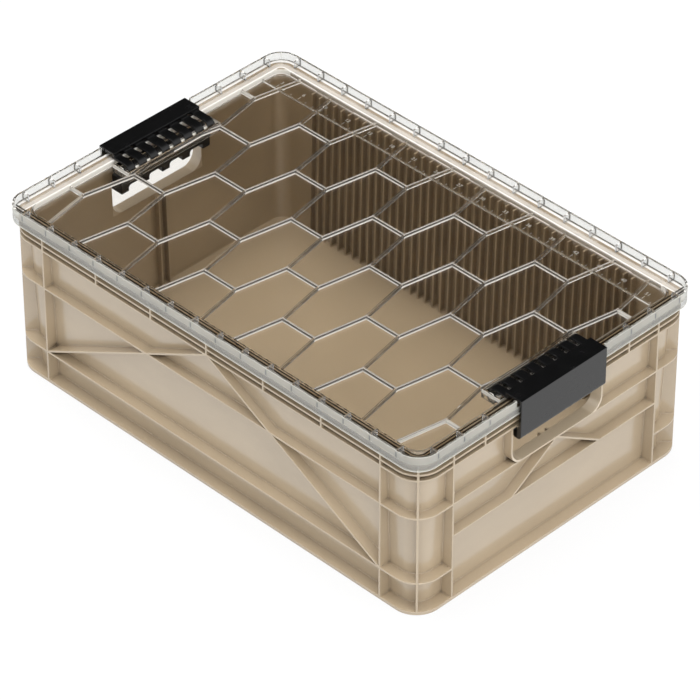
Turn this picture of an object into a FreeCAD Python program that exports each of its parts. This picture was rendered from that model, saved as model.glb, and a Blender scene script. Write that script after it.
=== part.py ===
import FreeCAD, Part
import math
import os

V = FreeCAD.Vector

# Crate: footprint over the outer ribs, height to the top of the rim.
LENGTH = 600.0
WIDTH = 400.0
RIM_Z = 198.5
CORNER_R = 30.0
WALL_T = 3.0
FLOOR_T = 4.0
RIB_T = 2.4
INSET_BASE = 14.5
INSET_RIM = 9.4

# Heights and places of the crate's outer ribs, counted from the rim, the floor or the ends.
FLANGE_HIGH_DROP = 17.5
FLANGE_SPACING = 7.5
LOWER_RIB_Z = 41.0
SHORT_RIB_DROP = 41.4
LONG_POST_FROM_END = 53.0
SHORT_POST_FROM_END = 50.5
SHORT_WEB_FROM_POST = 44.5
LONG_WEB_BAYS = 3

# Handle opening in each short wall.
HANDLE_HALF = 65.0
HANDLE_H = 46.3
HANDLE_R = 15.6

# Divider fins on the inside walls.
FIN_PITCH = 11.1
FIN_T = 2.0
FIN_D = 7.0
FIN_END_ROOM = 62.0
FIN_TOP_DROP = 8.5
FIN_HANDLE_GAP = 4.0

# Lid: skirt round the rim, flat border, dished panel with honeycomb ribs.
SKIRT_GAP = 0.8
SEAT_GAP = 0.2
LID_T = 2.2
SKIRT_T = 2.4
SKIRT_DROP = 7.7
LID_CORNER_R = 24.5
STACK_WALL_H = 8.6
PANEL_DROP = 5.4
HEX_RIB_T = 2.2
HEX_RIB_H = 4.0
HEX_PITCH_X = 115.0
HEX_ROW = 62.5
HEX_FLAT = 46.0
SCALE_RIB_FROM_EDGE = 27.9
LIP_GAP = 0.8
LIP_H = 7.2
GUSSET_PITCH = 36.3
GUSSET_T = 2.2
GUSSET_W = 8.0
GUSSET_FROM_END = 24.5

# Hinge of each latch: a rod moulded on the lid, held by posts between the fingers.
HINGE_INSET = 30.5
HINGE_DROP = 4.0
ROD_R = 6.5
ROD_GAP = 0.5
POST_T = 4.0
POST_COUNT = 7
END_FINGER_W = 9.5
FINGER_GAP = 1.0
FINGER_T = 2.7
SWING_GAP = 1.3
POCKET_WALL = 2.2
POCKET_DROP = 10.7

# Latch: top plate, front plate and hook under the crate's lower flange.
LATCH_HALF = 62.3
LATCH_T = 3.2
LATCH_TOP_T = 4.2
LATCH_ARM = 15.0
LATCH_SWING_GAP = 0.4
LATCH_TOP_GAP = 3.9
LATCH_STEP_W = 4.0
HOOK_GAP = 0.7
HOOK_REACH = 3.4
HOOK_H = 7.3

# Grip: bar along the top of the handle opening, with finger scallops below.
GRIP_GAP = 0.4
GRIP_REACH = 15.5
GRIP_TOOTH_H = 9.8
GRIP_LIP_H = 10.0
GRIP_HOOK_GAP = 2.0
SCALLOPS = 4
SCALLOP_PITCH = 29.7
SCALLOP_W = 18.7
SCALLOP_H = 7.0
SCALLOP_R = 3.5


def wall_inset(z):
    """How far the wall's outer face stands behind the rib plane at height z."""
    return INSET_BASE + (INSET_RIM - INSET_BASE) * z / RIM_Z


# Derived planes and sizes.
HALF_X = LENGTH / 2
HALF_Y = WIDTH / 2
FLANGE_HIGH_Z = RIM_Z - FLANGE_HIGH_DROP
FLANGE_LOW_Z = FLANGE_HIGH_Z - FLANGE_SPACING
FLANGE_UNDER_Z = FLANGE_LOW_Z - RIB_T / 2
HANDLE_Z = FLANGE_UNDER_Z - HANDLE_H
UPPER_RIB_Z = HANDLE_Z - RIB_T / 2
SHORT_RIB_Z = UPPER_RIB_Z - SHORT_RIB_DROP
LONG_POST_X = HALF_X - LONG_POST_FROM_END
SHORT_POST_Y = HALF_Y - SHORT_POST_FROM_END
SHORT_WEB_Y = SHORT_POST_Y - SHORT_WEB_FROM_POST

LID_UNDER_Z = RIM_Z + SEAT_GAP
LID_TOP_Z = LID_UNDER_Z + LID_T
STACK_Z = LID_TOP_Z + STACK_WALL_H
PANEL_TOP_Z = LID_TOP_Z - PANEL_DROP
PANEL_UNDER_Z = PANEL_TOP_Z - LID_T
SKIRT_IN_X = HALF_X + SKIRT_GAP
SKIRT_IN_Y = HALF_Y + SKIRT_GAP
LIP_INSET = wall_inset(RIM_Z - LIP_H) + WALL_T + LIP_GAP
LIP_X = HALF_X - LIP_INSET
LIP_Y = HALF_Y - LIP_INSET
LIP_R = CORNER_R - LIP_INSET
PANEL_X = LIP_X - LID_T
PANEL_Y = LIP_Y - LID_T
PANEL_R = LIP_R - LID_T

HINGE_X = HALF_X - HINGE_INSET
HINGE_Z = RIM_Z - HINGE_DROP
CURL_IN_R = ROD_R + ROD_GAP
CURL_OUT_R = CURL_IN_R + FINGER_T
POCKET_IN_X = HINGE_X - CURL_OUT_R - SWING_GAP
POCKET_OUT_X = HINGE_X + CURL_OUT_R + SWING_GAP
POST_REACH = LATCH_HALF - END_FINGER_W - FINGER_GAP - POST_T / 2
POST_PITCH = 2 * POST_REACH / (POST_COUNT - 1)
POCKET_HALF = LATCH_HALF + 2 * FINGER_GAP
POCKET_UNDER_Z = RIM_Z - POCKET_DROP

SKIRT_SWING_R = math.hypot(SKIRT_IN_X + SKIRT_T - HINGE_X, LID_TOP_Z - HINGE_Z)
LATCH_IN_X = HINGE_X + SKIRT_SWING_R + LATCH_SWING_GAP
LATCH_OUT_X = LATCH_IN_X + LATCH_T
LATCH_PLATE_X = HINGE_X + LATCH_ARM
LATCH_UNDER_Z = LID_TOP_Z + LATCH_TOP_GAP
LATCH_TOP_Z = LATCH_UNDER_Z + LATCH_TOP_T
HOOK_R = math.hypot(HINGE_INSET, HINGE_Z - FLANGE_UNDER_Z) + HOOK_GAP
HOOK_IN_X = HALF_X - HOOK_REACH

SIDES = (-1, 1)


def edges_along(shape, axis):
    """Straight edges of a block that run along the axis named by its letter."""
    return [edge for edge in shape.Edges
            if getattr(edge.BoundBox, axis + "Length") > edge.Length / 2]


def block(x_span, y_span, z_span):
    """Box between the given low and high values."""
    size = [high - low for low, high in (x_span, y_span, z_span)]
    return Part.makeBox(*size, V(x_span[0], y_span[0], z_span[0]))


def prism(points, way):
    """Solid swept from the flat polygon through the points."""
    return Part.Face(Part.makePolygon(points + points[:1])).extrude(way)


def rounded_slab(half_x, half_y, radius, z_low, z_high):
    """Plate with rounded corners, centred on the origin in plan."""
    slab = block((-half_x, half_x), (-half_y, half_y), (z_low, z_high))
    return slab.makeFillet(radius, edges_along(slab, "Z"))


def rounded_ring(half_x, half_y, radius, thickness, z_low, z_high):
    """Wall of the given thickness inside a rounded rectangle."""
    outer = rounded_slab(half_x, half_y, radius, z_low, z_high)
    inner = rounded_slab(half_x - thickness, half_y - thickness, radius - thickness, z_low, z_high)
    return outer.cut(inner)


def drafted_box(depth, z_low, z_high):
    """Tapered box that runs the given depth behind the wall's outer face."""
    reach = LENGTH
    inset_low = wall_inset(z_low) + depth
    inset_high = wall_inset(z_high) + depth
    across = prism([V(inset_low - HALF_X, -reach, z_low), V(HALF_X - inset_low, -reach, z_low),
                    V(HALF_X - inset_high, -reach, z_high), V(inset_high - HALF_X, -reach, z_high)],
                   V(0, 2 * reach, 0))
    along = prism([V(-reach, inset_low - HALF_Y, z_low), V(-reach, HALF_Y - inset_low, z_low),
                   V(-reach, HALF_Y - inset_high, z_high), V(-reach, inset_high - HALF_Y, z_high)],
                  V(2 * reach, 0, 0))
    box = across.common(along)
    return box.makeFillet(CORNER_R - INSET_RIM - depth, edges_along(box, "Z"))


def strip(start, end, thickness):
    """Corner offsets of a straight band: four (u, v) pairs around the line from start to end."""
    du = end[0] - start[0]
    dv = end[1] - start[1]
    scale = thickness / 2 / math.hypot(du, dv)
    side = (-dv * scale, du * scale)
    return [(start[0] + side[0], start[1] + side[1]), (end[0] + side[0], end[1] + side[1]),
            (end[0] - side[0], end[1] - side[1]), (start[0] - side[0], start[1] - side[1])]


def handle_tool(grow, x_span):
    """Handle opening's outline, grown outwards, as a solid across a short wall."""
    half = HANDLE_HALF + grow
    tool = block(x_span, (-half, half), (HANDLE_Z - grow, FLANGE_UNDER_Z))
    low = [edge for edge in edges_along(tool, "X") if edge.BoundBox.ZMax < FLANGE_UNDER_Z - HANDLE_R]
    return tool.makeFillet(HANDLE_R + grow, low)


def level_rib(z, thickness=RIB_T):
    """Slab for a rib that runs right round at height z."""
    return block((-HALF_X, HALF_X), (-HALF_Y, HALF_Y), (z - thickness / 2, z + thickness / 2))


def upright_blades():
    """Vertical rib blades, each still running right across the crate."""
    half = RIB_T / 2
    blades = []
    for side in SIDES:
        post = side * LONG_POST_X
        blades.append(block((post - half, post + half), (-HALF_Y, HALF_Y), (0, RIM_Z)))
        post = side * SHORT_POST_Y
        blades.append(block((-HALF_X, HALF_X), (post - half, post + half), (0, RIM_Z)))
        web = side * SHORT_WEB_Y
        blades.append(block((-HALF_X, HALF_X), (web - half, web + half), (FLANGE_LOW_Z, RIM_Z)))
        for other in SIDES:
            blade = block((0, 2 * CORNER_R), (-half, half), (0, RIM_Z))
            blade.rotate(V(0, 0, 0), V(0, 0, 1), math.degrees(math.atan2(other, side)))
            blade.translate(V(side * (HALF_X - CORNER_R), other * (HALF_Y - CORNER_R), 0))
            blades.append(blade)
    for step in range(1 - LONG_WEB_BAYS, LONG_WEB_BAYS):
        web = step * LONG_POST_X / LONG_WEB_BAYS
        blades.append(block((web - half, web + half), (-HALF_Y, HALF_Y), (FLANGE_LOW_Z, RIM_Z)))
    return blades


def brace_blades():
    """Sloping brace blades of the long and short faces."""
    blades = []
    for side in SIDES:
        band = strip((0, FLANGE_LOW_Z), (side * LONG_POST_X, LOWER_RIB_Z), RIB_T)
        blades.append(prism([V(u, -HALF_Y, v) for u, v in band], V(0, WIDTH, 0)))
        band = strip((0, UPPER_RIB_Z), (side * HANDLE_HALF, SHORT_RIB_Z), RIB_T)
        blades.append(prism([V(-HALF_X, u, v) for u, v in band], V(LENGTH, 0, 0)))
    return blades


def crate_ribs():
    """All outer ribs, trimmed to the space between the wall and the rib plane."""
    zone = rounded_slab(HALF_X, HALF_Y, CORNER_R, 0, RIM_Z)
    zone = zone.cut(drafted_box(WALL_T / 2, 0, RIM_Z))
    lower = level_rib(LOWER_RIB_Z)
    for side in SIDES:
        end = side * HALF_X
        gap = block(sorted((end - side * CORNER_R, end)), (-SHORT_POST_Y, SHORT_POST_Y), (0, RIM_Z))
        lower = lower.cut(gap)
    half = RIB_T / 2
    short = block((-HALF_X, HALF_X), (-SHORT_POST_Y, SHORT_POST_Y),
                  (SHORT_RIB_Z - half, SHORT_RIB_Z + half))
    blades = [lower, short, level_rib(UPPER_RIB_Z), level_rib(FLANGE_LOW_Z),
              level_rib(FLANGE_HIGH_Z), level_rib(RIM_Z - half)]
    blades += upright_blades() + brace_blades()
    blades.append(handle_tool(RIB_T, (-HALF_X, HALF_X)))
    return blades[0].multiFuse(blades[1:]).common(zone)


def divider_fins():
    """Thin fins that take divider sheets, on the long walls and in the middle of the short ones."""
    low = FLOOR_T / 2
    top = RIM_Z - FIN_TOP_DROP
    fins = []
    count = int((HALF_X - FIN_END_ROOM) / FIN_PITCH)
    root = wall_inset(low) + WALL_T / 2
    crown = wall_inset(top) + WALL_T / 2
    depth = FIN_D + WALL_T / 2
    for side in SIDES:
        outline = [(HALF_Y - root, low), (HALF_Y - crown, top),
                   (HALF_Y - crown - depth, top), (HALF_Y - root - depth, low)]
        for step in range(-count, count + 1):
            start = step * FIN_PITCH - FIN_T / 2
            fins.append(prism([V(start, side * y, z) for y, z in outline], V(FIN_T, 0, 0)))
    top = HANDLE_Z - FIN_HANDLE_GAP
    crown = wall_inset(top) + WALL_T / 2
    for side in SIDES:
        outline = [(HALF_X - root, low), (HALF_X - crown, top),
                   (HALF_X - crown - depth, top), (HALF_X - root - depth, low)]
        for place in SIDES:
            start = (place * FIN_PITCH - FIN_T) / 2
            fins.append(prism([V(side * x, start, z) for x, z in outline], V(0, FIN_T, 0)))
    return fins


def crate_body():
    """The moulded crate: floor, drafted walls, ribs, handle openings and divider fins."""
    shell = drafted_box(0, 0, RIM_Z).cut(drafted_box(WALL_T, FLOOR_T, RIM_Z))
    floor = rounded_slab(HALF_X, HALF_Y, CORNER_R, 0, FLOOR_T)
    body = shell.multiFuse([floor, crate_ribs()] + divider_fins())
    for side in SIDES:
        span = sorted((side * (HALF_X - CORNER_R), side * (HALF_X + RIB_T)))
        body = body.cut(handle_tool(0, span))
    return body.removeSplitter()


def hex_lines():
    """Ends of every honeycomb rib line that can reach the panel."""
    lines = []
    rows = int(PANEL_Y / HEX_ROW) + 2
    columns = int(PANEL_X / HEX_PITCH_X) + 2
    flat = HEX_FLAT / 2
    for row in range(-rows, rows + 1):
        shift = 0.5 if row % 2 == 0 else 0.0
        y = row * HEX_ROW
        for column in range(-columns, columns + 1):
            x = (column + shift) * HEX_PITCH_X
            lines.append(((x - flat, y), (x + flat, y)))
            lean = HEX_PITCH_X / 2 - flat
            lines.append(((x + flat, y), (x + lean, y + HEX_ROW)))
            lines.append(((x - flat, y), (x - lean, y + HEX_ROW)))
    return lines


def honeycomb():
    """Honeycomb ribs and the straight scale rib, trimmed to the panel."""
    low = PANEL_TOP_Z - LID_T / 2
    ribs = [prism([V(u, v, low) for u, v in strip(start, end, HEX_RIB_T)],
                  V(0, 0, LID_T / 2 + HEX_RIB_H)) for start, end in hex_lines()]
    centre = PANEL_Y - SCALE_RIB_FROM_EDGE
    ribs.append(block((-PANEL_X, PANEL_X), (centre - HEX_RIB_T / 2, centre + HEX_RIB_T / 2),
                      (low, PANEL_TOP_Z + HEX_RIB_H / 2)))
    zone = rounded_slab(PANEL_X + LID_T / 2, PANEL_Y + LID_T / 2, PANEL_R + LID_T / 2,
                        low, PANEL_TOP_Z + HEX_RIB_H)
    return ribs[0].multiFuse(ribs[1:]).common(zone)


def gussets():
    """Short cross plates between the stacking wall and the border."""
    half = GUSSET_T / 2
    heights = (LID_TOP_Z - LID_T / 2, STACK_Z)
    plates = []
    count = int((HALF_X - CORNER_R) / GUSSET_PITCH + 0.5)
    outer = SKIRT_IN_Y + SKIRT_T / 2
    for step in range(-count, count + 2):
        x = (step - 0.5) * GUSSET_PITCH
        for span in ((-outer, GUSSET_W - SKIRT_IN_Y), (SKIRT_IN_Y - GUSSET_W, outer)):
            plates.append(block((x - half, x + half), span, heights))
    outer = SKIRT_IN_X + SKIRT_T / 2
    y = HALF_Y - GUSSET_FROM_END
    while y > POCKET_HALF + GUSSET_PITCH / 2:
        for side in SIDES:
            for span in ((-outer, GUSSET_W - SKIRT_IN_X), (SKIRT_IN_X - GUSSET_W, outer)):
                plates.append(block(span, (side * y - half, side * y + half), heights))
        y -= GUSSET_PITCH
    return plates


def hinge_seat(side):
    """Pocket walls, rod and posts that carry one latch."""
    spans = sorted((side * (POCKET_IN_X - POCKET_WALL), side * (POCKET_OUT_X + POCKET_WALL)))
    half = POCKET_HALF + POCKET_WALL
    walls = block(spans, (-half, half), (POCKET_UNDER_Z, LID_TOP_Z - LID_T / 2))
    walls = walls.cut(pocket(side))
    rod = Part.makeCylinder(ROD_R, 2 * POCKET_HALF + POCKET_WALL,
                            V(side * HINGE_X, -POCKET_HALF - POCKET_WALL / 2, HINGE_Z), V(0, 1, 0))
    posts = []
    for step in range(POST_COUNT):
        y = step * POST_PITCH - POST_REACH
        posts.append(block(sorted((side * HINGE_X, side * (POCKET_OUT_X + POCKET_WALL / 2))),
                           (y - POST_T / 2, y + POST_T / 2),
                           (HINGE_Z - ROD_R + ROD_GAP, LID_TOP_Z - LID_T / 2)))
    return [walls, rod] + posts


def pocket(side):
    """Clear space that one latch's fingers turn in."""
    return block(sorted((side * POCKET_IN_X, side * POCKET_OUT_X)), (-POCKET_HALF, POCKET_HALF),
                 (0, STACK_Z))


def lid():
    """The clear lid with its skirt, border, dished panel, lip and hinge seats."""
    skirt = rounded_ring(SKIRT_IN_X + SKIRT_T, SKIRT_IN_Y + SKIRT_T, LID_CORNER_R, SKIRT_T,
                         RIM_Z - SKIRT_DROP, STACK_Z)
    border = rounded_slab(SKIRT_IN_X + SKIRT_T / 2, SKIRT_IN_Y + SKIRT_T / 2,
                          LID_CORNER_R - SKIRT_T / 2, LID_UNDER_Z, LID_TOP_Z)
    border = border.cut(rounded_slab(PANEL_X, PANEL_Y, PANEL_R, LID_UNDER_Z, LID_TOP_Z))
    lip = rounded_ring(LIP_X, LIP_Y, LIP_R, LID_T, LID_UNDER_Z - LIP_H, LID_TOP_Z)
    panel = rounded_slab(PANEL_X + LID_T / 2, PANEL_Y + LID_T / 2, PANEL_R + LID_T / 2,
                         PANEL_UNDER_Z, PANEL_TOP_Z)
    body = skirt.multiFuse([border, lip, panel, honeycomb()] + gussets())
    for side in SIDES:
        body = body.cut(pocket(side))
        notch = block(sorted((side * PANEL_X, side * LATCH_OUT_X)), (-POCKET_HALF, POCKET_HALF),
                      (LID_TOP_Z, STACK_Z))
        body = body.cut(notch)
        body = body.multiFuse(hinge_seat(side))
    return body.removeSplitter()


def hook_profile():
    """Face of the front plate, its hook and the top plate, in the plane y = -LATCH_HALF."""
    def at(x, z):
        return V(x, -LATCH_HALF, z)

    def on_swing(x):
        return at(x, HINGE_Z - math.sqrt(HOOK_R ** 2 - (x - HINGE_X) ** 2))

    tip = on_swing(HOOK_IN_X)
    root = on_swing(LATCH_IN_X)
    middle = on_swing((HOOK_IN_X + LATCH_IN_X) / 2)
    low = tip.z - HOOK_H
    round_in = HOOK_H / 2
    round_out = LATCH_T + HOOK_REACH / 2
    diagonal = 1 - math.sqrt(0.5)
    finger_under = HINGE_Z + CURL_IN_R
    edges = [
        Part.Arc(tip, middle, root).toShape(),
        Part.makePolygon([root, at(LATCH_IN_X, LATCH_UNDER_Z),
                          at(LATCH_PLATE_X + LATCH_STEP_W, LATCH_UNDER_Z),
                          at(LATCH_PLATE_X + LATCH_STEP_W, finger_under),
                          at(LATCH_PLATE_X, finger_under), at(LATCH_PLATE_X, LATCH_TOP_Z),
                          at(LATCH_OUT_X, LATCH_TOP_Z),
                          at(LATCH_OUT_X, low + round_out)]),
        Part.Arc(at(LATCH_OUT_X, low + round_out),
                 at(LATCH_OUT_X - diagonal * round_out, low + diagonal * round_out),
                 at(LATCH_OUT_X - round_out, low)).toShape(),
        Part.makeLine(at(LATCH_OUT_X - round_out, low), at(HOOK_IN_X + round_in, low)),
        Part.Arc(at(HOOK_IN_X + round_in, low),
                 at(HOOK_IN_X + diagonal * round_in, low + diagonal * round_in),
                 at(HOOK_IN_X, low + round_in)).toShape(),
        Part.makeLine(at(HOOK_IN_X, low + round_in), tip),
    ]
    return Part.Face(Part.Wire(Part.__sortEdges__([e for piece in edges for e in piece.Edges])))


def finger_bands():
    """Low and high y of each finger, between the posts of the hinge seat."""
    half_post = POST_T / 2 + FINGER_GAP
    posts = [step * POST_PITCH - POST_REACH for step in range(POST_COUNT)]
    lows = [-LATCH_HALF] + [y + half_post for y in posts]
    highs = [y - half_post for y in posts] + [LATCH_HALF]
    return list(zip(lows, highs))


def latch(side):
    """One latch: plates and hook in one moulding with its curled fingers."""
    body = hook_profile().extrude(V(0, 2 * LATCH_HALF, 0))
    fingers = []
    for low, high in finger_bands():
        width = high - low
        base = V(HINGE_X, low, HINGE_Z)
        curl = Part.makeCylinder(CURL_OUT_R, width, base, V(0, 1, 0))
        curl = curl.cut(Part.makeCylinder(CURL_IN_R, width, base, V(0, 1, 0)))
        mouth = block((HINGE_X, HINGE_X + 2 * CURL_OUT_R), (low, high),
                      (HINGE_Z - 2 * CURL_OUT_R, HINGE_Z + 2 * CURL_OUT_R))
        arm = block((HINGE_X, LATCH_PLATE_X + LATCH_STEP_W / 2), (low, high),
                    (HINGE_Z + CURL_IN_R, HINGE_Z + CURL_OUT_R))
        fingers += [curl.cut(mouth), arm]
    body = body.multiFuse(fingers).removeSplitter()
    if side < 0:
        body.rotate(V(0, 0, 0), V(0, 0, 1), 180)
    return body


def grip(side):
    """One grip: a bar through the top of the handle opening, with a lip inside the wall."""
    wall_in = HALF_X - wall_inset(FLANGE_UNDER_Z) - WALL_T
    low = FLANGE_UNDER_Z - GRIP_GAP - GRIP_TOOTH_H
    half = HANDLE_HALF - GRIP_GAP
    bar = block((wall_in - GRIP_REACH, HOOK_IN_X - GRIP_HOOK_GAP), (-half, half),
                (low, FLANGE_UNDER_Z - GRIP_GAP))
    lip = block((wall_in - GRIP_REACH, wall_in - GRIP_GAP), (-half, half),
                (low, FLANGE_UNDER_Z + GRIP_LIP_H))
    body = bar.fuse(lip)
    for step in range(SCALLOPS):
        y = (step - (SCALLOPS - 1) / 2) * SCALLOP_PITCH
        cut = block((0, LENGTH), (y - SCALLOP_W / 2, y + SCALLOP_W / 2),
                    (low - SCALLOP_H, low + SCALLOP_H))
        top = [edge for edge in edges_along(cut, "X") if edge.BoundBox.ZMin > low]
        body = body.cut(cut.makeFillet(SCALLOP_R, top))
    body = body.removeSplitter()
    if side < 0:
        body.rotate(V(0, 0, 0), V(0, 0, 1), 180)
    return body


def main():
    """Build every piece and write it as a STEP file."""
    os.makedirs("parts", exist_ok=True)
    pieces = {
        "crate_body": crate_body(),
        "lid": lid(),
        "latch_left": latch(-1),
        "latch_right": latch(1),
        "grip_left": grip(-1),
        "grip_right": grip(1),
    }
    for name, shape in pieces.items():
        print(name, shape.ShapeType, len(shape.Solids), shape.isValid(), round(shape.Volume))
        shape.exportStep("parts/" + name + ".step")


main()
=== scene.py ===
import logging
import math
from abc import ABC, abstractmethod
from dataclasses import dataclass, field
from enum import Enum

import bpy
from mathutils import Matrix, Vector


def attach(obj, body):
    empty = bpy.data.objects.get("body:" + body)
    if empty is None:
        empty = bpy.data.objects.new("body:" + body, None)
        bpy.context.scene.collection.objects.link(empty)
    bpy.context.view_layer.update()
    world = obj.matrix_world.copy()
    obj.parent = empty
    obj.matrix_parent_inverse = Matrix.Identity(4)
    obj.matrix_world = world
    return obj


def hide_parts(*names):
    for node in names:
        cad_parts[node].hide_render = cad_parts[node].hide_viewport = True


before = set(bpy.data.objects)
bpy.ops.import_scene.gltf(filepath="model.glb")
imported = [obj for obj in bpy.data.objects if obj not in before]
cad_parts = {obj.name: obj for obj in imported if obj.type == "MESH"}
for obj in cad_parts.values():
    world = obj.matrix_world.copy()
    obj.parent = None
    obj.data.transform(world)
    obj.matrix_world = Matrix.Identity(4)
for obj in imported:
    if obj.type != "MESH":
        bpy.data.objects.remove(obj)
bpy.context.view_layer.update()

log = logging.getLogger("storage_crate")

MM_PER_M = 1000.0
Colour = tuple[float, float, float]
Point = tuple[float, float, float]
Stops = tuple[tuple[float, float], ...]


class Hand(Enum):
    """End of the crate that a latch or a grip belongs to."""

    LEFT = "left"
    RIGHT = "right"


class Blend(Enum):
    """Ways to combine two colours."""

    MIX = "MIX"
    MULTIPLY = "MULTIPLY"


class Signal:
    """Number on a shader socket that takes part in Python sums."""

    def __init__(self, sheet: "NodeSheet", socket: bpy.types.NodeSocket) -> None:
        """Keep the socket and the node sheet that new nodes go on."""
        self.sheet = sheet
        self.socket = socket

    def _sum(self, operation: str, first: object, second: object) -> "Signal":
        """Add one Math node.

        Args:
            operation: Name of the Math node's operation.
            first: Signal or number on the first socket.
            second: Signal or number on the second socket.

        Returns:
            The signal that leaves the node.
        """
        made = self.sheet.node("ShaderNodeMath", {"operation": operation}, {0: first, 1: second})
        return Signal(self.sheet, made.outputs[0])

    def __add__(self, other: object) -> "Signal":
        """This signal plus another."""
        return self._sum("ADD", self, other)

    __radd__ = __add__

    def __sub__(self, other: object) -> "Signal":
        """This signal less another."""
        return self._sum("SUBTRACT", self, other)

    def __rsub__(self, other: object) -> "Signal":
        """Another number less this signal."""
        return self._sum("SUBTRACT", other, self)

    def __mul__(self, other: object) -> "Signal":
        """This signal times another."""
        return self._sum("MULTIPLY", self, other)

    __rmul__ = __mul__

    def __pow__(self, other: object) -> "Signal":
        """This signal to the power of another."""
        return self._sum("POWER", self, other)

    def __abs__(self) -> "Signal":
        """This signal without its sign."""
        return self._sum("ABSOLUTE", self, 0.0)

    def swing(self, reach: object) -> "Signal":
        """This signal folded back and forth between 0 and the reach."""
        return self._sum("PINGPONG", self, reach)

    def within(self, reach: float) -> "Signal":
        """1 where this signal is well under the reach, falling to 0 at the reach."""
        return self.sheet.ramp(self * (1 / reach), ((0.6, 1.0), (1.0, 0.0)))

    def beyond(self, start: float) -> "Signal":
        """0 up to a start in metres, 1 from half a millimetre past it."""
        return self.sheet.ramp((self - start) * MM_PER_M, ((0.0, 0.0), (0.5, 1.0)))

    def largest(self, other: object) -> "Signal":
        """The larger of this signal and another."""
        return self._sum("MAXIMUM", self, other)


class NodeSheet:
    """Node tree of one material or world, filled from code."""

    def __init__(self, tree: bpy.types.NodeTree) -> None:
        """Start with an empty tree."""
        self.tree = tree
        tree.nodes.clear()

    def node(self, kind: str, settings: dict | None = None,
             sockets: dict | None = None) -> bpy.types.Node:
        """Add one node.

        Args:
            kind: Blender's name of the node's type.
            settings: The node's own settings by name. A ramp's stops are (place, grey) pairs.
            sockets: Numbers, colours, signals or sockets to put on its inputs, by name or number.

        Returns:
            The new node.
        """
        made = self.tree.nodes.new(kind)
        for name, value in (settings or {}).items():
            if name == "stops":
                self._set_stops(made.color_ramp, value)
            else:
                setattr(made, name, value)
        for name, value in (sockets or {}).items():
            source = value.socket if isinstance(value, Signal) else value
            if isinstance(source, bpy.types.NodeSocket):
                self.tree.links.new(source, made.inputs[name])
            else:
                made.inputs[name].default_value = source
        return made

    @staticmethod
    def _set_stops(ramp: bpy.types.ColorRamp, stops: Stops) -> None:
        """Give a ramp its grey stops.

        Args:
            ramp: The ramp to fill.
            stops: Places along the ramp, each with its grey.
        """
        while len(ramp.elements) < len(stops):
            ramp.elements.new(1.0)
        for element, (place, grey) in zip(ramp.elements, stops):
            element.position = place
            element.color = (grey, grey, grey, 1.0)

    def signal(self, node: bpy.types.Node, output: str | int = 0) -> Signal:
        """Wrap one output of a node as a signal."""
        return Signal(self, node.outputs[output])

    def place(self, stretch: Point = (1.0, 1.0, 1.0)) -> bpy.types.NodeSocket:
        """Object coordinates in metres, scaled along each axis."""
        where = self.node("ShaderNodeTexCoord").outputs["Object"]
        return self.node("ShaderNodeMapping", None, {"Vector": where, "Scale": stretch}).outputs[0]

    def along(self, axis: str) -> Signal:
        """Object coordinate along one axis, in metres."""
        return self.signal(self.node("ShaderNodeSeparateXYZ", None, {0: self.place()}), axis)

    def noise(self, scale: float, detail: float, stretch: Point = (1.0, 1.0, 1.0)) -> Signal:
        """Soft noise over the piece.

        Args:
            scale: Waves per metre.
            detail: Finer layers that are added.
            stretch: Scale of the coordinates along each axis.

        Returns:
            A signal around 0.5.
        """
        made = self.node("ShaderNodeTexNoise", {"noise_dimensions": "3D"},
                         {"Vector": self.place(stretch), "Scale": scale, "Detail": detail})
        return self.signal(made, "Fac")

    def ramp(self, source: Signal, stops: Stops) -> Signal:
        """Reshape a signal by grey stops."""
        made = self.node("ShaderNodeValToRGB", {"stops": stops}, {"Fac": source})
        return self.signal(made, "Color")

    def tint(self, blend: Blend, share: object, base: object,
             other: object) -> bpy.types.NodeSocket:
        """Combine two colours.

        Args:
            blend: How the second colour acts on the first.
            share: How much of the second colour is used.
            base: First colour or socket.
            other: Second colour or socket.

        Returns:
            The socket with the combined colour.
        """
        # A Mix node keeps its two colours on inputs 6 and 7, and the result on output 2.
        made = self.node("ShaderNodeMix", {"data_type": "RGBA", "blend_type": blend.value},
                         {0: share, 6: base, 7: other})
        return made.outputs[2]

    def bump(self, height: Signal, depth: float, strength: float) -> bpy.types.NodeSocket:
        """Normal of a surface with the given relief.

        Args:
            height: Relief between 0 and 1.
            depth: Metres that 1 stands for.
            strength: Share of the relief that is used.

        Returns:
            The bent normal.
        """
        made = self.node("ShaderNodeBump", None,
                         {"Height": height, "Distance": depth, "Strength": strength})
        return made.outputs[0]

    def mix(self, share: object, first: bpy.types.NodeSocket,
            second: bpy.types.NodeSocket) -> bpy.types.NodeSocket:
        """Two shaders mixed, with the given share of the second."""
        return self.node("ShaderNodeMixShader", None, {0: share, 1: first, 2: second}).outputs[0]

    def finish(self, shader: bpy.types.NodeSocket, kind: str = "ShaderNodeOutputMaterial") -> None:
        """Send a shader to the output."""
        self.node(kind, None, {"Surface": shader})


def opaque(colour: Colour) -> tuple[float, float, float, float]:
    """The colour with full alpha, as colour sockets take it."""
    return (*colour, 1.0)


def shade(colour: Colour, factor: float) -> Colour:
    """The colour, darker or lighter by a factor."""
    return tuple(channel * factor for channel in colour)


@dataclass(frozen=True)
class Finish(ABC):
    """Material of one moulded plastic."""

    name: str

    def material(self) -> bpy.types.Material:
        """Make the material, or find it if it was made before.

        Returns:
            The material.
        """
        found = bpy.data.materials.get(self.name)
        if found is None:
            found = bpy.data.materials.new(self.name)
            found.use_nodes = True
            self.draw(NodeSheet(found.node_tree))
        return found

    @abstractmethod
    def draw(self, sheet: NodeSheet) -> None:
        """Put the finish's nodes on a sheet."""


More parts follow.
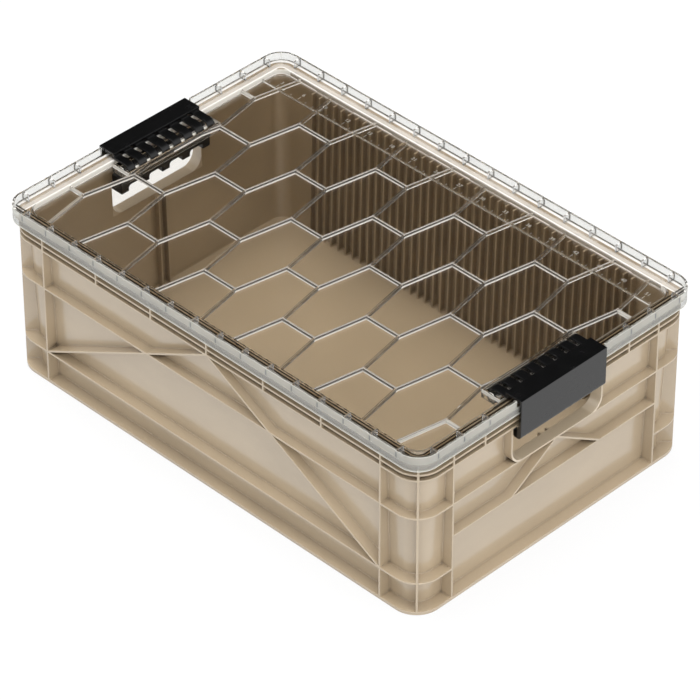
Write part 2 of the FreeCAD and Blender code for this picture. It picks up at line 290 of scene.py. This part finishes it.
@dataclass(frozen=True)
class MouldedPlastic(Finish):
    """Opaque plastic with moulding flow, fine grain and faint handling marks."""

    colour: Colour = (0.47, 0.38, 0.25)
    roughness: float = 0.2
    index: float = 1.5
    grain_depth: float = 0.00003
    flow: float = 0.05
    scuffs: float = 0.06
    flow_scale: float = 9.0
    flow_stretch: Point = (1.0, 1.0, 2.4)
    flow_stops: Stops = ((0.3, 0.0), (0.7, 1.0))
    speck_scale: float = 2600.0
    speck_stops: Stops = ((0.25, 0.92), (0.6, 1.0))
    scuff_scale: float = 60.0
    scuff_stretch: Point = (1.0, 1.0, 7.0)
    scuff_stops: Stops = ((0.5, 0.0), (0.75, 1.0))
    grain_scale: float = 1500.0
    grain_share: float = 0.3
    wave_scale: float = 35.0
    relief: float = 0.35

    def draw(self, sheet: NodeSheet) -> None:
        """Put the plastic's nodes on a sheet.

        Args:
            sheet: Empty sheet of the material.
        """
        clouds = sheet.noise(self.flow_scale, detail=3.0, stretch=self.flow_stretch)
        specks = sheet.noise(self.speck_scale, detail=1.0)
        flow = sheet.ramp(clouds, self.flow_stops)
        colour = sheet.tint(Blend.MIX, flow, opaque(shade(self.colour, 1.0 - self.flow)),
                            opaque(shade(self.colour, 1.0 + self.flow)))
        pigment = sheet.ramp(specks, self.speck_stops)
        colour = self.tone(sheet, sheet.tint(Blend.MULTIPLY, 1.0, colour, pigment.socket))
        marks = sheet.noise(self.scuff_scale, detail=4.0, stretch=self.scuff_stretch)
        scuffed = sheet.ramp(marks, self.scuff_stops)
        roughness = self.roughness + scuffed * self.scuffs + flow * (self.scuffs / 2)
        grain = sheet.noise(self.grain_scale, detail=2.0)
        waves = sheet.noise(self.wave_scale, detail=1.0)
        normal = sheet.bump(grain * self.grain_share + waves, self.grain_depth, self.relief)
        surface = sheet.node("ShaderNodeBsdfPrincipled", None, {
            "Base Color": colour, "Roughness": roughness, "IOR": self.index, "Normal": normal})
        sheet.finish(surface.outputs[0])

    def tone(self, sheet: NodeSheet, colour: bpy.types.NodeSocket) -> bpy.types.NodeSocket:
        """The colour as it is, with no painted light or shade."""
        return colour


@dataclass(frozen=True)
class CratePlastic(MouldedPlastic):
    """Moulded plastic with painted shade between its outer ribs and between its fins, and painted
    light in the handle openings.
    """

    nook_colour: Colour = (0.05, 0.026, 0.007)
    nook_reach: float = 0.008
    nook_samples: int = 4
    nook_stops: Stops = ((0.15, 0.9), (0.5, 0.0))
    slot_reach: float = 0.012
    slot_stops: Stops = ((0.35, 0.46), (0.8, 0.0))
    slot_depth: float = 0.009
    slot_foot: float = 0.006
    corner_x: float = 0.245
    corner_y: float = 0.145
    handle_colour: Colour = (0.6, 0.5, 0.37)
    handle_half: float = 0.0652
    handle_foot: float = 0.1258
    handle_head: float = 0.165
    wall_x: float = 0.284
    wall_y: float = 0.184
    draft: float = 0.0257

    def tone(self, sheet: NodeSheet, colour: bpy.types.NodeSocket) -> bpy.types.NodeSocket:
        """The colour, with painted shade in the corners and painted light in the handle openings.

        Args:
            sheet: Sheet of the material.
            colour: Socket with the plain colour.

        Returns:
            The socket with the toned colour.
        """
        along_x = abs(sheet.along("X"))
        along_y = abs(sheet.along("Y"))
        height = sheet.along("Z")
        past_wall = (along_x - self.wall_x).largest(along_y - self.wall_y) - height * self.draft
        outside = past_wall.beyond(0.0)
        corner = along_x.beyond(self.corner_x) * along_y.beyond(self.corner_y)
        slots = past_wall.beyond(-self.slot_depth) * height.beyond(self.slot_foot)
        slots = slots * (1 - outside) * (1 - corner)
        # Painted shade: dark brown mixed in by ambient occlusion outside the wall and in the slots
        # between the fins.
        painted_shade_share = (self.nook(sheet, self.nook_reach, self.nook_stops) * outside
                + self.nook(sheet, self.slot_reach, self.slot_stops) * slots)
        # Painted light: a paler tan mixed into the inside of the handle openings.
        with_painted_light = sheet.tint(Blend.MIX, self.handle(sheet), colour, opaque(self.handle_colour))
        return sheet.tint(Blend.MIX, painted_shade_share, with_painted_light, opaque(self.nook_colour))

    def nook(self, sheet: NodeSheet, reach: float, stops: Stops) -> Signal:
        """Share of painted shade where other faces are near.

        Args:
            sheet: Sheet of the material.
            reach: How near they have to be, in metres.
            stops: The share at each openness.

        Returns:
            The share, 0 in the open.
        """
        settings = {"samples": self.nook_samples, "only_local": True}
        openness = sheet.node("ShaderNodeAmbientOcclusion", settings, {"Distance": reach})
        return sheet.ramp(sheet.signal(openness, "AO"), stops)

    def handle(self, sheet: NodeSheet) -> Signal:
        """Where the inside of the handle openings is, which gets painted light.

        Args:
            sheet: Sheet of the material.

        Returns:
            1 on it and 0 elsewhere.
        """
        height = sheet.along("Z")
        level = height.beyond(self.handle_foot) * (1 - height.beyond(self.handle_head))
        return level * (1 - abs(sheet.along("Y")).beyond(self.handle_half))


@dataclass(frozen=True)
class ClearPlastic(Finish):
    """See-through plastic that lets light reach what it covers, most of it straight from above."""

    colour: Colour = (0.97, 0.975, 0.965)
    roughness: float = 0.02
    haze: float = 0.03
    index: float = 1.49
    milk: float = 0.0
    milk_colour: Colour = (0.9, 0.9, 0.89)
    straight: Colour = (0.97, 0.97, 0.965)
    slanted: Colour = (0.3, 0.3, 0.3)
    slant_stops: Stops = ((0.05, 0.0), (0.4, 1.0))
    smear_scale: float = 28.0
    smear_stretch: Point = (1.0, 2.0, 1.0)
    smear_stops: Stops = ((0.45, 0.0), (0.8, 1.0))

    def draw(self, sheet: NodeSheet) -> None:
        """Put the plastic's nodes on a sheet.

        Args:
            sheet: Empty sheet of the material.
        """
        path = sheet.node("ShaderNodeLightPath")
        lit = sheet.signal(path, "Is Shadow Ray").largest(sheet.signal(path, "Is Diffuse Ray"))
        above = sheet.node("ShaderNodeBsdfTransparent", None, {"Color": opaque(self.straight)})
        aside = sheet.node("ShaderNodeBsdfTransparent", None, {"Color": opaque(self.slanted)})
        plastic = sheet.mix(lit, self.body(sheet), aside.outputs[0])
        sheet.finish(sheet.mix(lit * (1 - self.slant(sheet)), plastic, above.outputs[0]))

    def slant(self, sheet: NodeSheet) -> Signal:
        """0 for light that comes straight through, 1 for light at a slant."""
        view = sheet.node("ShaderNodeLayerWeight")
        return sheet.ramp(sheet.signal(view, "Facing"), self.slant_stops)

    def body(self, sheet: NodeSheet) -> bpy.types.NodeSocket:
        """The plastic as the eye sees it: glass with a share of white diffuse as painted light.

        Args:
            sheet: Sheet of the material.

        Returns:
            The shader's socket.
        """
        film = sheet.noise(self.smear_scale, detail=4.0, stretch=self.smear_stretch)
        smears = sheet.ramp(film, self.smear_stops)
        glass = sheet.node("ShaderNodeBsdfPrincipled", None, {
            "Base Color": opaque(self.colour), "Roughness": self.roughness + smears * self.haze,
            "IOR": self.index, "Transmission Weight": 1.0})
        # Painted light: a white diffuse share that stands for the clear plastic's glints and
        # reflections.
        painted_light_bsdf = sheet.node("ShaderNodeBsdfDiffuse", None, {"Color": opaque(self.milk_colour)})
        return sheet.mix(self.milk_share(sheet), glass.outputs[0], painted_light_bsdf.outputs[0])

    def milk_share(self, sheet: NodeSheet) -> float | Signal:
        """Share of painted light in the plastic, the same all over."""
        return self.milk


@dataclass(frozen=True)
class PanelPlastic(ClearPlastic):
    """Clear plastic with streaks of painted shade on its border's near sides and of painted light
    on the far sides.
    """

    bend_x: float = 0.2787
    bend_y: float = 0.1787
    bend_radius: float = 0.0077
    streak_reach: float = 10.0
    streak_stops: Stops = (
        (0.1, 0.0), (0.14, 0.9), (0.3, 0.9), (0.34, 0.0),
        (0.45, 0.0), (0.49, 0.9), (0.7, 0.9), (0.74, 0.0))
    streak_colour: Colour = (0.008, 0.006, 0.004)
    shaded_stops: Stops = ((0.0, 0.0), (0.2, 1.0))
    lip_width: float = 2.0
    border_width: float = 16.4
    pale_stops: Stops = (
        (0.0, 0.0), (0.02, 0.75), (0.09, 0.75), (0.12, 0.35), (0.44, 0.3),
        (0.48, 0.04), (0.66, 0.04), (0.69, 0.85), (0.84, 0.85), (0.88, 0.0))

    def body(self, sheet: NodeSheet) -> bpy.types.NodeSocket:
        """The plastic with the border's streaks of painted shade.

        Args:
            sheet: Sheet of the material.

        Returns:
            The shader's socket.
        """
        # Painted shade: dark diffuse streaks across the border on the front and right sides.
        shade_streak = sheet.node("ShaderNodeBsdfDiffuse", None, {"Color": opaque(self.streak_colour)})
        share = sheet.ramp(self.out(sheet, 1.0) * (1 / self.streak_reach), self.streak_stops)
        return sheet.mix(share, super().body(sheet), shade_streak.outputs[0])

    def milk_share(self, sheet: NodeSheet) -> Signal:
        """Share of painted light in the border's pale streaks."""
        across = (self.out(sheet, -1.0) + self.lip_width) * (1 / self.border_width)
        return sheet.ramp(across, self.pale_stops)

    def slant(self, sheet: NodeSheet) -> Signal:
        """As on plain plastic, and 1 all over the shaded border."""
        return super().slant(sheet).largest(sheet.ramp(self.out(sheet, 1.0), self.shaded_stops))

    def out(self, sheet: NodeSheet, side: float) -> Signal:
        """Millimetres from the panel out into the border.

        Args:
            sheet: Sheet of the material.
            side: 1 for the front and right sides, -1 for the back and left ones.

        Returns:
            The distance, below 0 on the panel and on the other two sides.
        """
        past_x = (sheet.along("X") * side - self.bend_x).largest(0.0)
        past_y = (sheet.along("Y") * -side - self.bend_y).largest(0.0)
        return ((past_x * past_x + past_y * past_y) ** 0.5 - self.bend_radius) * MM_PER_M


@dataclass(frozen=True)
class GradedPlastic(ClearPlastic):
    """Clear plastic with painted light and a band of painted shade that follow the height."""

    foot: float = 0.1908
    height: float = 0.0187
    milk_stops: Stops = (
        (0.0, 0.7), (0.05, 0.7), (0.08, 0.25), (0.3, 0.2), (0.55, 0.3), (0.95, 0.34), (0.97, 0.6))
    band_stops: Stops = ((0.08, 0.0), (0.2, 0.2), (0.36, 0.2), (0.52, 0.0))
    band_colour: Colour = (0.12, 0.13, 0.14)

    def body(self, sheet: NodeSheet) -> bpy.types.NodeSocket:
        """The plastic with its painted light and its band of painted shade."""
        # Painted shade: a dark diffuse band at a set height.
        shade_band = sheet.node("ShaderNodeBsdfDiffuse", None, {"Color": opaque(self.band_colour)})
        return sheet.mix(self.band_share(sheet), super().body(sheet), shade_band.outputs[0])

    def milk_share(self, sheet: NodeSheet) -> Signal:
        """Share of painted light at each height."""
        return sheet.ramp(self.rise(sheet), self.milk_stops)

    def band_share(self, sheet: NodeSheet) -> Signal:
        """Share of the band of painted shade at each height."""
        return sheet.ramp(self.rise(sheet), self.band_stops)

    def rise(self, sheet: NodeSheet) -> Signal:
        """Height on the plastic, 0 at the foot and 1 at the crown."""
        return (sheet.along("Z") - self.foot) * (1 / self.height)


@dataclass(frozen=True)
class WallPlastic(GradedPlastic):
    """Clear wall with a short mark of painted shade where each gusset stands behind it."""

    pitch: float = 0.0363
    first_x: float = 0.01815
    first_y: float = 0.1755
    mark_half: float = 0.0012
    mark_stops: Stops = ((0.5, 0.0), (0.56, 0.85), (0.84, 0.85), (0.9, 0.0))
    hinge_half: float = 0.08
    far_x: float = 0.295
    far_y: float = 0.195
    far_clear: float = 0.65

    def milk_share(self, sheet: NodeSheet) -> Signal:
        """Share of painted light at each height, less on the back and left walls.

        Args:
            sheet: Sheet of the material.

        Returns:
            The share.
        """
        left = (sheet.along("X") * -1.0).beyond(self.far_x)
        far = left.largest(sheet.along("Y").beyond(self.far_y))
        return super().milk_share(sheet) * (1 - far * self.far_clear)

    def band_share(self, sheet: NodeSheet) -> Signal:
        """Share of the band of painted shade and of the painted shade marks.

        Args:
            sheet: Sheet of the material.

        Returns:
            The share.
        """
        across = self.near(sheet, "X", self.first_x).largest(self.near(sheet, "Y", self.first_y))
        beside_hinge = abs(sheet.along("Y")).beyond(self.hinge_half)
        # Painted shade: a short dark mark where each gusset stands behind the wall, away from the
        # hinges.
        marks = sheet.ramp(self.rise(sheet), self.mark_stops) * across * beside_hinge
        return super().band_share(sheet).largest(marks)

    def near(self, sheet: NodeSheet, axis: str, first: float) -> Signal:
        """1 at a gusset, counted along an axis from the first one on each side of the middle."""
        return (abs(sheet.along(axis)) - first).swing(self.pitch / 2).within(self.mark_half)


@dataclass(frozen=True)
class RibPlastic(GradedPlastic):
    """Clear ribs with painted light at the foot of their sides and a line of painted shade above.
    """

    foot: float = 0.1955
    height: float = 0.004
    milk_stops: Stops = ((0.0, 0.85), (0.38, 0.85), (0.44, 0.0), (0.64, 0.0), (0.7, 0.22))
    band_stops: Stops = ((0.38, 0.0), (0.44, 0.92), (0.62, 0.92), (0.68, 0.0))
    band_colour: Colour = (0.012, 0.01, 0.009)
    half_cell: float = 0.0575
    row: float = 0.0625
    flat_half: float = 0.023
    dot_radius: float = 0.0022
    dot_share: float = 0.8
    row_stops: Stops = ((0.05, 0.0), (0.06, 1.0))
    turned_milk: float = 0.1
    turned_band: float = 0.5

    def milk_share(self, sheet: NodeSheet) -> Signal:
        """Share of painted light, which depends on the height and on the way the rib runs."""
        return super().milk_share(sheet) * self.catching(sheet, self.turned_milk)

    def band_share(self, sheet: NodeSheet) -> Signal:
        """Share of the painted shade line and of the painted shade dots where ribs meet."""
        lines = super().band_share(sheet) * self.catching(sheet, self.turned_band)
        return lines.largest(self.dots(sheet))

    def dots(self, sheet: NodeSheet) -> Signal:
        """Dots of painted shade where three ribs meet, on even and on odd rows.

        Args:
            sheet: Sheet of the material.

        Returns:
            The dots' share.
        """
        across = sheet.along("X").swing(self.half_cell)
        along = sheet.along("Y").swing(self.row)
        even = abs(across - self.flat_half).within(self.dot_radius) * along.within(self.dot_radius)
        odd = abs(across - (self.half_cell - self.flat_half)).within(self.dot_radius)
        return even.largest(odd * (self.row - along).within(self.dot_radius)) * self.dot_share

    def catching(self, sheet: NodeSheet, least: float) -> Signal:
        """How much of the painted light and shade a rib gets, by the way it runs.

        Args:
            sheet: Sheet of the material.
            least: Value on the slanting ribs that are painted as turned away from the light.

        Returns:
            The least value there, and 1 on all other ribs.
        """
        cells = sheet.node("ShaderNodeTexChecker", None, {
            "Vector": sheet.place((1 / self.half_cell, 1 / self.row, 0.0)), "Scale": 1.0})
        # Painted light and shade: the slanting ribs of one way get less of both.
        from_row = sheet.along("Y").swing(self.row / 2) * (2 / self.row)
        slanting = (1 - sheet.signal(cells, "Fac")) * sheet.ramp(from_row, self.row_stops)
        return 1 - slanting * (1 - least)


def activate(piece: bpy.types.Object) -> None:
    """Select one object alone and make it active.

    Args:
        piece: The object.
    """
    bpy.ops.object.select_all(action="DESELECT")
    piece.select_set(True)
    bpy.context.view_layer.objects.active = piece


def dress(piece: bpy.types.Object, finish: Finish) -> None:
    """Give a piece one material all over."""
    piece.data.materials.clear()
    piece.data.materials.append(finish.material())


@dataclass
class Moulding:
    """Piece that takes its shape from a CAD node and gets the rounded edges of a moulding."""

    node: str
    body: str
    slot: str
    finish: Finish
    edge_radius: float = 0.0005
    edge_steps: int = 2
    sharp_angle: float = math.radians(38.0)
    shading_angle: float = math.radians(60.0)
    weld: float = 0.00001
    flat_angle: float = math.radians(0.6)

    def build(self) -> bpy.types.Object:
        """Make the rounded piece, dress it and let it stand for its node.

        Returns:
            The finished piece.
        """
        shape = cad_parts[self.node].data.copy()
        piece = bpy.data.objects.new(self.node + "_moulding", shape)
        bpy.context.scene.collection.objects.link(piece)
        activate(piece)
        bpy.ops.object.mode_set(mode="EDIT")
        bpy.ops.mesh.select_all(action="SELECT")
        bpy.ops.mesh.remove_doubles(threshold=self.weld)
        bpy.ops.mesh.dissolve_limited(angle_limit=self.flat_angle)
        bpy.ops.object.mode_set(mode="OBJECT")
        self.round_edges(piece)
        self.dress(piece)
        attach(piece, self.body)
        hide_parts(self.node)
        return piece

    def dress(self, piece: bpy.types.Object) -> None:
        """Give the piece its finish all over."""
        dress(piece, self.finish)

    def round_edges(self, piece: bpy.types.Object) -> None:
        """Round every sharp edge and even out the shading.

        Args:
            piece: The piece to finish, already active.
        """
        bevel = piece.modifiers.new("rounding", "BEVEL")
        bevel.width = self.edge_radius
        bevel.segments = self.edge_steps
        bevel.limit_method = "ANGLE"
        bevel.angle_limit = self.sharp_angle
        bevel.use_clamp_overlap = False
        bevel.face_strength_mode = "FSTR_ALL"
        bpy.ops.object.modifier_apply(modifier=bevel.name)
        bpy.ops.object.shade_smooth_by_angle(angle=self.shading_angle)
        weighted = piece.modifiers.new("shading", "WEIGHTED_NORMAL")
        weighted.keep_sharp = True
        weighted.use_face_influence = True
        bpy.ops.object.modifier_apply(modifier=weighted.name)


class LidZone(Enum):
    """Parts of the lid with a finish of their own, by material slot."""

    PANEL = 0
    WALL = 1
    GUSSET = 2
    HINGE = 3
    RIB = 4


@dataclass
class ClearLid(Moulding):
    """Lid with a clear panel, a wall, gussets, hinge posts and ribs, most of them with painted
    light and shade.
    """

    zone_finishes: dict[LidZone, Finish] = field(kw_only=True)
    half_length: float = 0.3032
    half_width: float = 0.2032
    corner_radius: float = 0.0245
    wall_depth: float = 0.003
    gusset_depth: float = 0.012
    hinge_reach: float = 0.26
    lip_depth: float = 0.0188
    border_top: float = 0.2009
    upright_slope: float = 0.5
    panel_top: float = 0.1955
    rib_height: float = 0.004
    scale_line: float = 0.1565
    scale_half: float = 0.0015

    def dress(self, piece: bpy.types.Object) -> None:
        """Give each zone of the lid its finish.

        Args:
            piece: The lid's piece.
        """
        super().dress(piece)
        for zone in list(LidZone)[1:]:
            piece.data.materials.append(self.zone_finishes[zone].material())
        for face in piece.data.polygons:
            face.material_index = self.zone(face).value

    def zone(self, face: bpy.types.MeshPolygon) -> LidZone:
        """The zone that a face of the lid belongs to.

        Args:
            face: The face.

        Returns:
            Its zone.
        """
        depth = self.depth(face.center)
        height = face.center.z - self.panel_top
        upright = abs(face.normal.z) < self.upright_slope
        on_scale = abs(face.center.y - self.scale_line) < self.scale_half
        if upright and depth < self.wall_depth:
            return LidZone.WALL
        if upright and depth < self.gusset_depth and face.center.z > self.border_top:
            return LidZone.GUSSET
        at_hinge = abs(face.center.x) > self.hinge_reach and depth > self.gusset_depth
        if upright and at_hinge and height > 0:
            return LidZone.HINGE
        on_panel = depth > self.lip_depth and not on_scale
        if on_panel and self.weld < height < self.rib_height + self.weld:
            return LidZone.RIB
        return LidZone.PANEL

    def depth(self, point: Vector) -> float:
        """How far inside the lid's rounded outline a point lies.

        Args:
            point: The point.

        Returns:
            The distance in metres.
        """
        beyond_x = abs(point.x) - self.half_length + self.corner_radius
        beyond_y = abs(point.y) - self.half_width + self.corner_radius
        outside = math.hypot(max(beyond_x, 0.0), max(beyond_y, 0.0))
        return self.corner_radius - outside - min(max(beyond_x, beyond_y), 0.0)


@dataclass
class LidScale:
    """Moulded scale on the lid's far strip: a tick for each divider slot and numbers."""

    finish: Finish
    pitch: float = 0.0111
    labels: int = 17
    ticks_per_label: int = 3
    tick_start: float = 0.1576
    tick_short: float = 0.0035
    tick_long: float = 0.0065
    tick_width: float = 0.0006
    relief: float = 0.0003
    panel_top: float = 0.1955
    crown: Point = (0.6, 0.96, 1.0)
    digit_height: float = 0.0065
    digit_line: float = 0.1668
    digit_steps: int = 4

    def build(self) -> bpy.types.Object:
        """Make all ticks and numbers as one raised piece on the lid.

        Returns:
            The finished piece.
        """
        marks: list[bpy.types.Object] = []
        last = self.labels * self.ticks_per_label
        middle = (last + self.ticks_per_label) / 2
        for count in range(1, last + self.ticks_per_label):
            x = (count - middle) * self.pitch
            labelled = count % self.ticks_per_label == 0
            marks.append(self.tick(x, self.tick_long if labelled else self.tick_short))
            if labelled:
                marks.append(self.number(x, str(count)))
        bpy.ops.object.select_all(action="DESELECT")
        for mark in marks:
            mark.select_set(True)
        bpy.context.view_layer.objects.active = marks[0]
        bpy.ops.object.join()
        scale = bpy.context.view_layer.objects.active
        scale.name = "lid_scale"
        dress(scale, self.finish)
        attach(scale, "lid")
        return scale

    def tick(self, x: float, length: float) -> bpy.types.Object:
        """One raised tick with a sloping crown.

        Args:
            x: Place along the crate.
            length: How far it runs back from the scale rib.

        Returns:
            The tick, with its place in its mesh.
        """
        bpy.ops.object.select_all(action="DESELECT")
        middle = (x, self.tick_start + length / 2, self.panel_top)
        bpy.ops.mesh.primitive_plane_add(size=1.0, location=middle)
        mark = bpy.context.object
        mark.scale = (self.tick_width, length, 1.0)
        bpy.ops.object.transform_apply(location=True, rotation=True, scale=True)
        bpy.ops.object.mode_set(mode="EDIT")
        bpy.ops.mesh.select_all(action="SELECT")
        bpy.ops.mesh.extrude_region_move(TRANSFORM_OT_translate={"value": (0.0, 0.0, self.relief)})
        bpy.ops.transform.resize(value=self.crown)
        bpy.ops.object.mode_set(mode="OBJECT")
        return mark

    def number(self, x: float, text: str) -> bpy.types.Object:
        """One raised number.

        Args:
            x: Place of the number's middle along the crate.
            text: Its digits.

        Returns:
            The number as a mesh, with its place in its mesh.
        """
        bpy.ops.object.select_all(action="DESELECT")
        bpy.ops.object.text_add(location=(x, self.digit_line, self.panel_top + self.relief / 2))
        label = bpy.context.object
        label.data.body = text
        label.data.size = self.digit_height
        label.data.align_x = "CENTER"
        label.data.extrude = self.relief / 2
        label.data.resolution_u = self.digit_steps
        bpy.ops.object.convert(target="MESH")
        bpy.ops.object.transform_apply(location=True, rotation=True, scale=True)
        return label


@dataclass(frozen=True)
class Softbox:
    """Large soft lamp that faces the crate."""

    name: str
    place: Point
    width: float
    height: float
    watts: float

    def build(self) -> None:
        """Put up the lamp."""
        data = bpy.data.lights.new(self.name, "AREA")
        data.shape = "RECTANGLE"
        data.size = self.width
        data.size_y = self.height
        data.energy = self.watts
        lamp = bpy.data.objects.new(self.name, data)
        bpy.context.scene.collection.objects.link(lamp)
        lamp.location = self.place
        lamp.rotation_euler = Vector(self.place).to_track_quat("Z", "Y").to_euler()


@dataclass(frozen=True)
class Glow:
    """Patch of soft light in the studio's surroundings."""

    way: Point
    strength: float
    focus: float = 1.0

    def level(self, sheet: NodeSheet, looking: bpy.types.NodeSocket) -> Signal:
        """Light from each direction, strongest along the glow's way."""
        ahead = sheet.node("ShaderNodeVectorMath", {"operation": "DOT_PRODUCT"},
                           {0: looking, 1: self.way})
        return sheet.signal(ahead, "Value").largest(0.0) ** self.focus * self.strength


@dataclass
class Studio:
    """Floor, light and camera of the picture."""

    eye: Point = (2.6518, -2.6458, 3.0104)
    backward: Point = (0.5562, -0.5562, 0.6176)
    upward: Point = (-0.4367, 0.4367, 0.7866)
    lens: float = 233.69
    sensor: float = 36.0
    sight: float = 100.0
    floor_size: float = 60.0
    floor_colour: Colour = (0.5, 0.5, 0.5)
    floor_glow: float = 0.8
    floor_white: float = 1.08
    horizon: float = 0.2
    glows: tuple[Glow, ...] = (
        Glow(way=(0.0, 0.0, 1.0), strength=7.6, focus=20.0),
        Glow(way=(0.7, -0.46, 0.54), strength=0.84),
        Glow(way=(0.92, 0.0, 0.39), strength=1.15, focus=4.0),
        Glow(way=(-0.9, 0.15, 0.41), strength=3.0, focus=4.0))
    softbox: Softbox = Softbox(
        "front_softbox", place=(2.2, -1.7, 1.8), width=2.4, height=2.4, watts=13.0)
    mirrored: Stops = ((0.38, 0.02), (0.5, 1.0))
    bounces: int = 24

    def build(self) -> None:
        """Set up everything around the object."""
        bpy.context.scene.view_settings.view_transform = "Standard"
        self.camera()
        self.floor()
        self.world()
        self.softbox.build()
        cycles = bpy.context.scene.cycles
        cycles.max_bounces = self.bounces
        cycles.glossy_bounces = self.bounces
        cycles.transmission_bounces = self.bounces
        cycles.transparent_max_bounces = self.bounces

    def camera(self) -> None:
        """Camera that stands as in the photograph."""
        data = bpy.data.cameras.new("picture_camera")
        data.lens = self.lens
        data.sensor_width = self.sensor
        data.clip_end = self.sight
        camera = bpy.data.objects.new("picture_camera", data)
        bpy.context.scene.collection.objects.link(camera)
        back = Vector(self.backward).normalized()
        right = Vector(self.upward).cross(back).normalized()
        turn = Matrix((right, back.cross(right), back)).transposed().to_4x4()
        camera.matrix_world = Matrix.Translation(self.eye) @ turn
        bpy.context.scene.camera = camera

    @staticmethod
    def seen(sheet: NodeSheet) -> Signal:
        """Rays that show a background: straight, mirrored or through clear plastic.

        Args:
            sheet: Sheet of the material.

        Returns:
            1 for those rays and 0 for the others.
        """
        path = sheet.node("ShaderNodeLightPath")
        through = sheet.signal(path, "Is Transmission Ray")
        mirrored = sheet.signal(path, "Is Glossy Ray")
        return sheet.signal(path, "Is Camera Ray").largest(through).largest(mirrored)

    def floor(self) -> None:
        """Pale floor that looks white and keeps a faint shadow."""
        bpy.ops.object.select_all(action="DESELECT")
        bpy.ops.mesh.primitive_plane_add(size=self.floor_size, location=(0.0, 0.0, 0.0))
        floor = bpy.context.object
        floor.name = "studio_floor"
        material = bpy.data.materials.new("studio_white")
        material.use_nodes = True
        sheet = NodeSheet(material.node_tree)
        plain = sheet.node("ShaderNodeBsdfDiffuse", None, {"Color": opaque(self.floor_colour)})
        white = sheet.node("ShaderNodeEmission", None, {"Strength": self.floor_white})
        share = self.seen(sheet) * self.floor_glow
        sheet.finish(sheet.mix(share, plain.outputs[0], white.outputs[0]))
        floor.data.materials.append(material)

    def world(self) -> None:
        """Light that is strongest overhead, white to the eye, mirrored on the front side only."""
        world = bpy.data.worlds.new("studio_world")
        bpy.context.scene.world = world
        world.use_nodes = True
        sheet = NodeSheet(world.node_tree)
        way = sheet.node("ShaderNodeTexCoord").outputs["Generated"]
        front = Vector((self.backward[0], self.backward[1], 0.0)).normalized()
        facing = sheet.node("ShaderNodeVectorMath", {"operation": "DOT_PRODUCT"},
                            {0: way, 1: front})
        # A ramp takes 0 to 1, and a product of two directions runs from -1 to 1.
        mirrored = sheet.ramp(sheet.signal(facing, "Value") * 0.5 + 0.5, self.mirrored)
        path = sheet.node("ShaderNodeLightPath")
        glossy = sheet.signal(path, "Is Glossy Ray")
        straight = sheet.signal(path, "Is Camera Ray")
        soft = sum((glow.level(sheet, way) for glow in self.glows), self.horizon)
        strength = (soft * (1 - straight) + straight) * (1 - glossy) + mirrored * glossy
        light = sheet.node("ShaderNodeBackground", None,
                           {"Color": opaque((1.0, 1.0, 1.0)), "Strength": strength})
        sheet.finish(light.outputs[0], "ShaderNodeOutputWorld")


# The crate's finish carries painted shade in its recesses and painted light in its handle openings.
CRATE_PLASTIC = CratePlastic(
    "crate_plastic_tan", colour=(0.455, 0.362, 0.248), roughness=0.16, index=2.05)
LATCH_PLASTIC = MouldedPlastic(
    "latch_plastic_black", colour=(0.0007, 0.0007, 0.0008), roughness=0.22, index=1.55, flow=0.15)
GRIP_PLASTIC = MouldedPlastic(
    "grip_plastic_black", colour=(0.005, 0.005, 0.0052), roughness=0.45, index=1.5, flow=0.15,
    grain_depth=0.00006)
# The lid's finishes carry painted light as white diffuse and painted shade as dark streaks, bands,
# marks and dots.
LID_PLASTIC = PanelPlastic(
    "lid_plastic_clear", colour=(0.98, 0.95, 0.9), milk_colour=(0.75, 0.73, 0.7),
    slanted=(0.45, 0.41, 0.35))
LID_ZONES = {
    LidZone.WALL: WallPlastic(
        "lid_plastic_wall", milk_colour=(0.86, 0.86, 0.79), straight=(0.1, 0.1, 0.1),
        slanted=(0.1, 0.1, 0.1)),
    # Painted light: the gussets and the hinge posts get white diffuse that stands for glints.
    LidZone.GUSSET: ClearPlastic("lid_plastic_gusset", milk=0.12),
    LidZone.HINGE: ClearPlastic("lid_plastic_hinge", milk=0.8, milk_colour=(0.96, 0.92, 0.84)),
    LidZone.RIB: RibPlastic(
        "lid_plastic_rib", colour=(0.82, 0.76, 0.68), milk_colour=(0.78, 0.74, 0.68))}
SCALE_PLASTIC = ClearPlastic("scale_plastic_frosted", roughness=0.28, haze=0.1)


def pieces() -> list[Moulding | LidScale]:
    """Every piece of the object, from the base up.

    Returns:
        The pieces, ready to build.
    """
    listed: list[Moulding | LidScale] = [
        Moulding("crate_body", "crate", "crate_plastic", CRATE_PLASTIC)]
    for hand in Hand:
        name = "grip_" + hand.value
        listed.append(Moulding(name, "crate", "grip_black", GRIP_PLASTIC, edge_radius=0.0008))
    listed.append(ClearLid("lid", "lid", "lid_clear", LID_PLASTIC, zone_finishes=LID_ZONES))
    listed.append(LidScale(SCALE_PLASTIC))
    for hand in Hand:
        name = "latch_" + hand.value
        listed.append(Moulding(name, name, "latch_black", LATCH_PLASTIC, edge_radius=0.0006))
    return listed


def main() -> None:
    """Build the object and the studio, and log each piece's number of faces."""
    logging.basicConfig(level=logging.INFO, format="%(name)s: %(message)s")
    for piece in pieces():
        made = piece.build()
        log.info("%s has %d faces", made.name, len(made.data.polygons))
    Studio().build()


if __name__ == "__main__":
    main()
